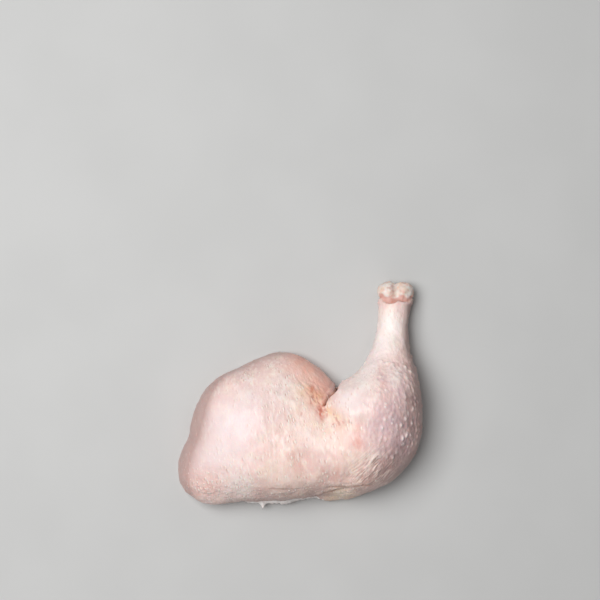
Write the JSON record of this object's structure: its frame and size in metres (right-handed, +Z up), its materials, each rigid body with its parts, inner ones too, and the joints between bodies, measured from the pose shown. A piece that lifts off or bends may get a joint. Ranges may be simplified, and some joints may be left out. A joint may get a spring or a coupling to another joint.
{
  "type": "raw chicken leg quarter",
  "caption": "Raw chicken leg quarter with its skin on: plump thigh and drumstick bent at the knee, tapering to a bare hock end, lying on its cut side.",
  "frame": {"origin": "centre of the part's box at table level, in the plane that the cut side rests on", "axes": "+Z up, towards the skin side; +X from the hip end of the thigh to the knee; +Y from the knee to the hock"},
  "size_m": [0.135, 0.1252, 0.0445],
  "materials": {
    "skin": "satin"
  },
  "bodies": {
    "root": {"leg_quarter": "skin"}
  },
  "joints": []
}
